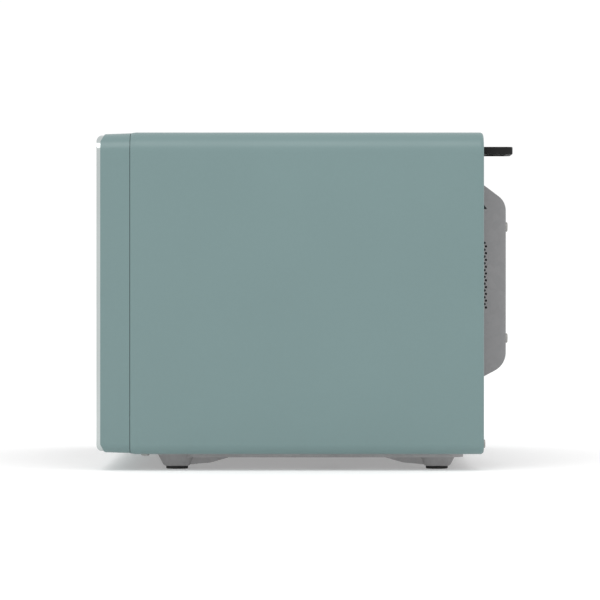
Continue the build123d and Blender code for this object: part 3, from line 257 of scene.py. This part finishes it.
teal = (0.152, 0.233, 0.233)
cabinetPaint = finish("cabinetPaint", "paint", teal, tint(teal, 0.96), 0.36, 0.42, 0.000015)
frontPaint = finish("frontPaint", "paint", tint(teal, 0.99), tint(teal, 0.95), 0.30, 0.38, 0.000012)
brightTrim = finish("brightTrim", "drawn", (0.52, 0.565, 0.56), (0.47, 0.51, 0.505), 0.16, 0.22,
                    0.000004, Metallic=1.0)
zincSheet = finish("zincSheet", "zinc", (0.30, 0.30, 0.305), (0.25, 0.252, 0.258), 0.45, 0.58,
                   0.00001,
                   Metallic=0.35)
# painted shade: the rear panel uses a darker copy of the same zinc steel as zincSheet, toned down for
# how the light falls on the bulge
shadedRearZinc = finish("shadedRearZinc", "zinc", (0.222, 0.222, 0.225), (0.188, 0.189, 0.193), 0.48, 0.6,
                   0.00001,
                   Metallic=0.3)
# painted light: the base plate uses a lighter copy of the same zinc steel, lifted to make up for the
# shade under the oven
litBaseZinc = finish("litBasePan", "zinc", (0.40, 0.392, 0.396), (0.33, 0.325, 0.328), 0.46, 0.58,
                   0.00001,
                   Metallic=0.5)
screwZinc = finish("screwZinc", "drawn", (0.36, 0.355, 0.34), (0.27, 0.265, 0.255), 0.3, 0.45,
                   0.00001, 2.0,
                   Metallic=0.9)
enamel = finish("cavityEnamel", "paint", (0.60, 0.61, 0.60), (0.50, 0.51, 0.50), 0.28, 0.4,
                0.00002, 1.6)
screenEnamel = finish("screenEnamel", "paint", (0.05, 0.05, 0.052), (0.04, 0.04, 0.041), 0.4, 0.5)
rubber = finish("footRubber", "moulded", (0.022, 0.021, 0.021), (0.014, 0.014, 0.014), 0.7, 0.85,
                0.00005)
mattBlack = finish("mattBlackPlastic", "moulded", (0.008, 0.008, 0.0085), (0.005, 0.005, 0.005),
                   0.6, 0.75,
                   0.00003, Specular_IOR_Level=0.25)
glossBlack = finish("glossBlackFascia", "paint", (0.006, 0.006, 0.0065), (0.0045, 0.0045, 0.005),
                    0.06,
                    0.14, 0.000004)
keyBlack = finish("keyBlack", "moulded", (0.02, 0.02, 0.021), (0.014, 0.014, 0.015), 0.24, 0.34,
                  0.00001)
palePlastic = finish("palePlastic", "moulded", (0.58, 0.57, 0.52), (0.5, 0.49, 0.45), 0.4, 0.5,
                     0.00002)
mica = finish("micaSheet", "paint", (0.42, 0.36, 0.26), (0.33, 0.28, 0.2), 0.45, 0.55, 0.00003, 3.0)
boardGreen = finish("boardGreen", "paint", (0.03, 0.11, 0.05), (0.02, 0.075, 0.035), 0.35, 0.5)
finMetal = finish("finMetal", "drawn", (0.66, 0.67, 0.68), (0.55, 0.56, 0.57), 0.32, 0.45,
                  Metallic=1.0)
coreSteel = finish("coreSteel", "drawn", (0.09, 0.09, 0.092), (0.05, 0.05, 0.052), 0.45, 0.6,
                   0.00008, 3.0,
                   Metallic=0.6)
copper = finish("copperWinding", "drawn", (0.50, 0.20, 0.09), (0.36, 0.13, 0.055), 0.3, 0.4,
                0.0001, 3.0,
                Metallic=0.8)
doorTint = finish("doorTint", "paint", (0.34, 0.35, 0.36), (0.31, 0.32, 0.33), 0.02, 0.07, 0.000002,
                  Transmission_Weight=1.0, IOR=1.5)
lensTint = finish("lensTint", "paint", (0.34, 0.35, 0.36), (0.31, 0.32, 0.33), 0.02, 0.06, 0.000002,
                  Transmission_Weight=1.0, IOR=1.5)
printWhite = finish("printWhite", "moulded", (0.72, 0.73, 0.73), (0.60, 0.61, 0.61), 0.4, 0.55,
                    0.000004)
litDigits = finish("litDigits", "moulded", (0.10, 0.62, 0.50), (0.07, 0.48, 0.38), 0.4, 0.5,
                   0.000004,
                   Emission_Color=(0.10, 0.85, 0.65, 1.0), Emission_Strength=2.4)


doorBorder = {"side": 0.040, "low": 0.034, "soft": 0.0012, "ink": (0.0012, 0.0012, 0.0013, 1.0)}


def borderMaskGroup():
    # black enamel printed round the edge of a pane; Position is measured from the pane's middle
    tree, entry, leave = newGroup("borderMask", [positionInput, ("Half Width", "NodeSocketFloat",
                                                                 0.1),
                                                 ("Half Height", "NodeSocketFloat", 0.1),
                                                 ("Soft", "NodeSocketFloat", 0.001)],
                                  [("Mask", "NodeSocketFloat")])
    parts = addNode(tree, "ShaderNodeSeparateXYZ")
    join(tree, entry, "Position", parts, 0)
    edges = []
    for axis, half in (("X", "Half Width"), ("Z", "Half Height")):
        away = addNode(tree, "ShaderNodeMath", {"operation": "ABSOLUTE"})
        join(tree, parts, axis, away, 0)
        past = addNode(tree, "ShaderNodeMath", {"operation": "SUBTRACT"})
        join(tree, away, 0, past, 0)
        join(tree, entry, half, past, 1)
        over = addNode(tree, "ShaderNodeMath", {"operation": "DIVIDE", "use_clamp": True})
        join(tree, past, 0, over, 0)
        join(tree, entry, "Soft", over, 1)
        edges.append(over)
    total = addNode(tree, "ShaderNodeMath", {"operation": "MAXIMUM"})
    join(tree, edges[0], 0, total, 0)
    join(tree, edges[1], 0, total, 1)
    join(tree, total, 0, leave, "Mask")
    return tree


def printBorder(material, node):
    tree = material.node_tree
    low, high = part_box(node)
    middle = (low + high) / 2
    centred = addNode(tree, "ShaderNodeMapping")
    centred.inputs["Location"].default_value = (-middle.x, -middle.y, -middle.z)
    place = next(item for item in tree.nodes if item.type == "TEX_COORD")
    join(tree, place, "Object", centred, "Vector")
    mask = addNode(tree, "ShaderNodeGroup", {"node_tree": borderMaskGroup()},
                   Soft=doorBorder["soft"])
    mask.inputs["Half Width"].default_value = (high.x - low.x) / 2 - doorBorder["side"]
    mask.inputs["Half Height"].default_value = (high.z - low.z) / 2 - doorBorder["low"]
    join(tree, centred, 0, mask, "Position")
    bsdf = tree.nodes["Principled BSDF"]
    tone = bsdf.inputs["Base Color"].links[0].from_node
    inked = addNode(tree, "ShaderNodeMix", {"data_type": "RGBA"})
    inked.inputs[7].default_value = doorBorder["ink"]
    tree.links.new(tone.outputs[2], inked.inputs[6])
    join(tree, mask, "Mask", inked, 0)
    tree.links.new(inked.outputs[2], bsdf.inputs["Base Color"])


printBorder(doorTint, "door_glass")
clearGlass = finish("clearGlass", "paint", (0.93, 0.96, 0.955), (0.9, 0.94, 0.93), 0.03, 0.12,
                    0.00001,
                    Transmission_Weight=1.0, IOR=1.5)
lampGlass = finish("lampGlass", "paint", (0.9, 0.86, 0.74), (0.86, 0.82, 0.7), 0.2, 0.3)

dress(cabinetPaint, "cabinet_wrap")
dress(frontPaint, "door_shell", "panel_housing")
dress(brightTrim, "door_bezel", "panel_bezel")
dress(doorTint, "door_glass")
dress(lensTint, "display_window")
dress(clearGlass, "door_inner_window", "glass_tray")
dress(lampGlass, "cavity_lamp")
dress(glossBlack, "panel_fascia")
dress(keyBlack, "door_button", *[name for name in nodes if name.startswith("key_")])
dress(zincSheet, "front_plate", "hinge_bracket_upper", "hinge_bracket_lower", "waveguide",
      "lamp_holder", "capacitor_clamp", "hv_capacitor", "turntable_motor")
dress(shadedRearZinc, "rear_panel")
dress(litBaseZinc, "base_plate")
dress(screwZinc, "cabinet_screws", "bulge_screws", "latch_spring", "button_spring")
dress(enamel, "oven_cavity", "door_frame")
dress(rubber, "foot_pads")
dress(mattBlack, "wall_spacer", "cord_gland", "choke_cover", "hv_diode", "interlock_switches",
      "thermal_cutouts")
dress(palePlastic, "latch_hooks", "release_lever", "latch_bracket", "roller_ring",
      "turntable_coupler",
      "roller_1", "roller_2", "roller_3", "fan_blade", "fan_shroud")
dress(mica, "waveguide_cover")
dress(boardGreen, "control_board", "noise_filter_board")
dress(finMetal, "magnetron")
dress(coreSteel, "transformer_core", "fan_motor")
dress(copper, "transformer_windings")
print("materials placed")

# ---- return springs, welded copies placed on their bodies ----

weldReach = 0.000001

springs = {
    "button_spring": {"joint": "button_press", "body": "chassis", "along": (0, 1, 0),
                      "travel": 0.006},
    "latch_spring": {"joint": "latch_slide", "body": "door", "along": (0, 0, 1), "travel": 0.0042},
}


def makeSpring(node):
    facts = springs[node]
    mesh = nodes[node].data.copy()
    work = bmesh.new()
    work.from_mesh(mesh)
    bmesh.ops.remove_doubles(work, verts=work.verts, dist=weldReach)
    work.to_mesh(mesh)
    work.free()
    spring = placeObject(node + "_coil", mesh)
    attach(spring, facts["body"])
    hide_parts(node)
    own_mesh(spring)     # gives the coil its own copy of the mesh
    return spring


for node in springs:
    makeSpring(node)
print("springs placed")

# ---- the door's perforated screen ----

screen = {
    "columns": 71,
    "rows": 47,
    "holeShare": 0.36,      # hole radius as a share of the pitch
    "thickness": 0.0006,
    "paneMargin": 0.008,    # the screen's window inside the inner pane's edge
    "paneGap": 0.0005,      # from the inner pane to the middle of the sheet
    "weld": 0.00001,
}


def screenCell():
    # one square of the sheet, one unit wide, with an eight-sided hole
    radius, half = screen["holeShare"], screen["thickness"] / 2
    corners = ((1, 0), (1, 1), (0, 1), (-1, 1), (-1, 0), (-1, -1), (0, -1), (1, -1))
    verts, faces = [], []
    for y in (-half, half):
        verts += [(x / 2, y, z / 2) for x, z in corners]
        turns = [k * math.pi / 4 for k in range(8)]
        verts += [(radius * math.cos(turn), y, radius * math.sin(turn)) for turn in turns]
    for k in range(8):
        n = (k + 1) % 8
        faces.append((k, n, 8 + n, 8 + k))
        faces.append((16 + n, 16 + k, 24 + k, 24 + n))
        faces.append((8 + k, 8 + n, 24 + n, 24 + k))
    mesh = bpy.data.meshes.new("screenCell")
    mesh.from_pydata(verts, [], faces)
    return placeObject("screenCell", mesh)


def perforatedTree():
    tree = bpy.data.node_groups.new("perforatedSheet", "GeometryNodeTree")
    for label, kind in (("Width", "NodeSocketFloat"), ("Height", "NodeSocketFloat"),
                        ("Columns", "NodeSocketInt"), ("Rows", "NodeSocketInt"),
                        ("Middle", "NodeSocketVector"), ("Cell", "NodeSocketObject"),
                        ("Coat", "NodeSocketMaterial")):
        tree.interface.new_socket(label, in_out="INPUT", socket_type=kind)
    tree.interface.new_socket("Sheet", in_out="OUTPUT", socket_type="NodeSocketGeometry")
    entry, leave = tree.nodes.new("NodeGroupInput"), tree.nodes.new("NodeGroupOutput")
    pitches = []
    for span, count in (("Width", "Columns"), ("Height", "Rows")):
        pitch = addNode(tree, "ShaderNodeMath", {"operation": "DIVIDE"})
        join(tree, entry, span, pitch, 0)
        join(tree, entry, count, pitch, 1)
        reach = addNode(tree, "ShaderNodeMath", {"operation": "SUBTRACT"})
        join(tree, entry, span, reach, 0)
        join(tree, pitch, 0, reach, 1)
        pitches.append((pitch, reach))
    grid = addNode(tree, "GeometryNodeMeshGrid")
    join(tree, pitches[0][1], 0, grid, "Size X")
    join(tree, pitches[1][1], 0, grid, "Size Y")
    join(tree, entry, "Columns", grid, "Vertices X")
    join(tree, entry, "Rows", grid, "Vertices Y")
    upright = addNode(tree, "GeometryNodeTransform")
    upright.inputs["Rotation"].default_value = (math.pi / 2, 0.0, 0.0)
    join(tree, grid, "Mesh", upright, "Geometry")
    join(tree, entry, "Middle", upright, "Translation")
    source = addNode(tree, "GeometryNodeObjectInfo")
    join(tree, entry, "Cell", source, "Object")
    size = addNode(tree, "ShaderNodeCombineXYZ", Y=1.0)
    join(tree, pitches[0][0], 0, size, "X")
    join(tree, pitches[1][0], 0, size, "Z")
    copies = addNode(tree, "GeometryNodeInstanceOnPoints")
    join(tree, upright, 0, copies, "Points")
    join(tree, source, "Geometry", copies, "Instance")
    join(tree, size, 0, copies, "Scale")
    solid = addNode(tree, "GeometryNodeRealizeInstances")
    join(tree, copies, 0, solid, 0)
    welded = addNode(tree, "GeometryNodeMergeByDistance", Distance=screen["weld"])
    join(tree, solid, 0, welded, 0)
    coated = addNode(tree, "GeometryNodeSetMaterial")
    join(tree, welded, 0, coated, 0)
    join(tree, entry, "Coat", coated, "Material")
    join(tree, coated, 0, leave, 0)
    return tree


def makeScreen():
    cell = screenCell()
    low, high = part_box("door_inner_window")
    margin = screen["paneMargin"]
    values = {"Width": high.x - low.x - 2 * margin, "Height": high.z - low.z - 2 * margin,
              "Columns": screen["columns"], "Rows": screen["rows"], "Cell": cell,
              "Coat": screenEnamel,
              "Middle": ((low.x + high.x) / 2, low.y - screen["paneGap"], (low.z + high.z) / 2)}
    tree = perforatedTree()
    carrier = placeObject("screenCarrier", bpy.data.meshes.new("screenCarrier"))
    modifier = carrier.modifiers.new("perforated", "NODES")
    modifier.node_group = tree
    for item in tree.interface.items_tree:
        if item.name in values:
            modifier[item.identifier] = values[item.name]
    depsgraph = bpy.context.evaluated_depsgraph_get()
    mesh = bpy.data.meshes.new_from_object(carrier.evaluated_get(depsgraph))
    bpy.data.objects.remove(carrier)
    bpy.data.objects.remove(cell)
    work = bmesh.new()
    work.from_mesh(mesh)
    rim = [edge for edge in work.edges if edge.is_boundary]
    bmesh.ops.bridge_loops(work, edges=rim)     # closes the sheet's cut edge
    bmesh.ops.recalc_face_normals(work, faces=work.faces)
    work.to_mesh(mesh)
    work.free()
    sheet = placeObject("doorScreen", mesh)
    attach(sheet, "door")
    return sheet


print("door screen:", len(makeScreen().data.polygons), "faces")

# ---- printed marks and the lit time ----

marks = {
    "reach": 0.0048,        # half the size of a key's sign
    "line": 0.0008,
    "ring": 0.0118,         # the circle printed round each sign
    "ringLine": 0.00035,
    "proud": 0.00012,
    "sunk": 0.0001,
    "doorLine": 0.0007,
}


def plate(work, points, near, far):
    # a flat outline in X and Z, given its thickness between two places along Y
    front = [work.verts.new((x, near, z)) for x, z in points]
    back = [work.verts.new((x, far, z)) for x, z in points]
    work.faces.new(front)
    work.faces.new(back[::-1])
    for k in range(len(points)):
        n = (k + 1) % len(points)
        work.faces.new((front[n], front[k], back[k], back[n]))


def stroke(start, end, line):
    along = (Vector(end) - Vector(start)).normalized() * line / 2
    across = Vector((-along.y, along.x))
    a, b = Vector(start) - along, Vector(end) + along
    return [tuple(a - across), tuple(b - across), tuple(b + across), tuple(a + across)]


def arcPieces(radius, line, start, end, steps):
    shapes = []
    for k in range(steps):
        a = math.radians(start + (end - start) * k / steps)
        b = math.radians(start + (end - start) * (k + 1) / steps)
        inner, outer = radius - line / 2, radius + line / 2
        corners = ((inner, a), (outer, a), (outer, b), (inner, b))
        shapes.append([(reach * math.cos(turn), reach * math.sin(turn)) for reach, turn in corners])
    return shapes


def signShapes(name):
    r, line = marks["reach"], marks["line"]
    if name == "power":
        return arcPieces(r * 0.85, line, 125, 415, 20) + [stroke((0, r * 0.25), (0, r), line)]
    if name == "clock":
        hands = [stroke((0, 0), (0, r * 0.6), line), stroke((0, 0), (r * 0.45, 0), line)]
        return arcPieces(r * 0.95, line, 0, 360, 24) + hands
    if name == "defrost":
        shapes = []
        for k in range(6):
            turn = math.radians(60 * k + 30)
            tip = Vector((math.cos(turn), math.sin(turn))) * r
            shapes.append(stroke((0, 0), tip, line))
            for side in (-0.7, 0.7):
                barb = Vector((math.cos(turn + side), math.sin(turn + side))) * r * 0.32
                shapes.append(stroke(tip * 0.6, tip * 0.6 + barb, line * 0.8))
        return shapes
    if name == "timer":
        w = r * 0.65
        return [[(-w, r), (0, r * 0.06), (w, r)], [(-w, -r), (w, -r), (0, -r * 0.06)],
                stroke((-w, r), (w, r), line), stroke((-w, -r), (w, -r), line)]
    if name == "stop":
        q = r * 0.66
        return [[(-q, -q), (q, -q), (q, q), (-q, q)]]
    if name == "start":
        return [[(-r * 0.55, -r * 0.8), (r * 0.85, 0), (-r * 0.55, r * 0.8)]]
    level = [stroke((-r * 0.8, 0), (r * 0.8, 0), line)]
    return level + ([stroke((0, -r * 0.8), (0, r * 0.8), line)] if name == "plus" else [])


def printedPiece(name, shapes, middle, near, far, body, material):
    work = bmesh.new()
    for shape in shapes:
        plate(work, [(middle[0] + u, middle[1] + v) for u, v in shape], near, far)
    bmesh.ops.recalc_face_normals(work, faces=work.faces)
    mesh = bpy.data.meshes.new(name)
    work.to_mesh(mesh)
    work.free()
    mesh.materials.append(material)
    piece = placeObject(name, mesh)
    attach(piece, body)
    return piece


def makeKeyMarks():
    for node in sorted(name for name in nodes if name.startswith("key_")):
        low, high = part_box(node)
        middle = ((low.x + high.x) / 2, (low.z + high.z) / 2)
        shapes = signShapes(node[4:]) + arcPieces(marks["ring"], marks["ringLine"], 0, 360, 48)
        printedPiece("mark_" + node[4:], shapes, middle, low.y - marks["proud"],
                     low.y + marks["sunk"],
                     node, printWhite)
    low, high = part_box("door_button")
    middle = ((low.x + high.x) / 2, (low.z + high.z) / 2)
    doorway = ((-0.006, -0.005), (-0.006, 0.005), (0.002, 0.005), (0.002, -0.005))
    leaf = ((0.002, 0.005), (0.007, 0.0028), (0.007, -0.0072), (0.002, -0.005))
    frameLines = [stroke(outline[k], outline[(k + 1) % 4], marks["doorLine"])
                  for outline in (doorway, leaf) for k in range(4)]
    printedPiece("mark_door_button", frameLines, middle, low.y - marks["proud"],
                 low.y + marks["sunk"],
                 "door_button", printWhite)


clockFace = {
    "digits": "1200",
    "height": 0.015,
    "width": 0.008,
    "step": 0.0125,
    "line": 0.0016,
    "slant": 0.12,
    "colonRoom": 0.0016,    # how far each pair of digits moves away from the colon
    "dotHeight": 0.0028,
    "dotReach": 0.0008,
    "near": 0.0001,         # the lit bars stand behind the display window
    "far": 0.0004,
}
litSegments = {"0": "abcdef", "1": "bc", "2": "abged"}


def makeTime():
    h, w = clockFace["height"] / 2, clockFace["width"] / 2
    line, slant, room = clockFace["line"], clockFace["slant"], clockFace["colonRoom"]
    g = line * 0.62     # the gap left where two bars meet
    bars = {"a": ((-w + g, h), (w - g, h)), "b": ((w, g), (w, h - g)),
            "c": ((w, -h + g), (w, -g)), "d": ((-w + g, -h), (w - g, -h)),
            "e": ((-w, -h + g), (-w, -g)), "f": ((-w, g), (-w, h - g)),
            "g": ((-w + g, 0), (w - g, 0))}
    shapes = []
    for k, digit in enumerate(clockFace["digits"]):
        across = (k - 1.5) * clockFace["step"] + (room if k > 1 else -room)
        for letter in litSegments[digit]:
            start, end = bars[letter]
            shapes.append([(u + across + v * slant, v) for u, v in stroke(start, end, line * 0.8)])
    dot, reach = ((-1, -1), (1, -1), (1, 1), (-1, 1)), clockFace["dotReach"]
    for v in (-clockFace["dotHeight"], clockFace["dotHeight"]):
        shapes.append([(v * slant + a * reach, v + b * reach) for a, b in dot])
    low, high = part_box("display_window")
    middle = ((low.x + high.x) / 2, (low.z + high.z) / 2)
    printedPiece("litTime", shapes, middle, high.y + clockFace["near"], high.y + clockFace["far"],
                 "chassis", litDigits)


makeKeyMarks()
makeTime()
print("marks and time placed")

# ---- floor, light and camera ----

studio = {
    "floorReach": 60.0,
    "floorTone": (0.80, 0.80, 0.80, 1),
    "floorGlow": 0.25,          # a lit table, so the shadow under the oven stays pale
    "skyStrength": 1.03,
    "overheadPower": 16.0,
    "overheadPlace": (1.7, -0.2, 2.2),
    "overheadAim": (0.0, 0.0, 0.15),
    "overheadSize": (2.0, 1.2),
    "frameWidth": 0.5474,       # metres across the frame at the oven's side
    "distance": 3.0,
    "aimAlong": -0.0049,
    "aimHeight": 0.1562,
    "sensor": 36.0,
}


def makeFloor():
    mesh = bpy.data.meshes.new("floor")
    reach = studio["floorReach"]
    mesh.from_pydata([(-reach, -reach, 0), (reach, -reach, 0), (reach, reach, 0), (-reach, reach,
                                                                                   0)],
                     [], [(0, 1, 2, 3)])
    floor = placeObject("floor", mesh)
    material = bpy.data.materials.new("paleFloor")
    material.use_nodes = True
    bsdf = material.node_tree.nodes["Principled BSDF"]
    bsdf.inputs["Base Color"].default_value = studio["floorTone"]
    bsdf.inputs["Roughness"].default_value = 0.9
    bsdf.inputs["Specular IOR Level"].default_value = 0.0
    bsdf.inputs["Emission Color"].default_value = (1.0, 1.0, 1.0, 1)
    bsdf.inputs["Emission Strength"].default_value = studio["floorGlow"]
    mesh.materials.append(material)
    return floor


def makeSky():
    world = bpy.data.worlds.new("studioSky")
    bpy.context.scene.world = world
    world.use_nodes = True
    back = world.node_tree.nodes["Background"]
    back.inputs["Color"].default_value = (1.0, 1.0, 1.0, 1)
    back.inputs["Strength"].default_value = studio["skyStrength"]


def softBox(name, place, target, width, height, power):
    light = bpy.data.lights.new(name, "AREA")
    light.shape = "RECTANGLE"
    light.size = width
    light.size_y = height
    light.energy = power
    lamp = placeObject(name, light)
    lamp.location = place
    aim = Vector(target) - Vector(place)
    lamp.rotation_euler = aim.to_track_quat("-Z", "Y").to_euler()
    lamp.visible_camera = False
    return lamp


def makeCamera():
    side = cadHigh.x
    camera = bpy.data.cameras.new("camera")
    camera.sensor_width = studio["sensor"]
    camera.lens = studio["sensor"] * studio["distance"] / studio["frameWidth"]
    camera.clip_start = 0.1
    camera.clip_end = 200.0
    view = placeObject("camera", camera)
    view.location = (side + studio["distance"], studio["aimAlong"], studio["aimHeight"])
    view.rotation_euler = (math.pi / 2, 0.0, math.pi / 2)
    bpy.context.scene.camera = view


makeFloor()
makeSky()
softBox("overheadBox", studio["overheadPlace"], studio["overheadAim"], *studio["overheadSize"],
        studio["overheadPower"])
makeCamera()
bpy.context.scene.view_settings.view_transform = "Standard"
print("studio ready")
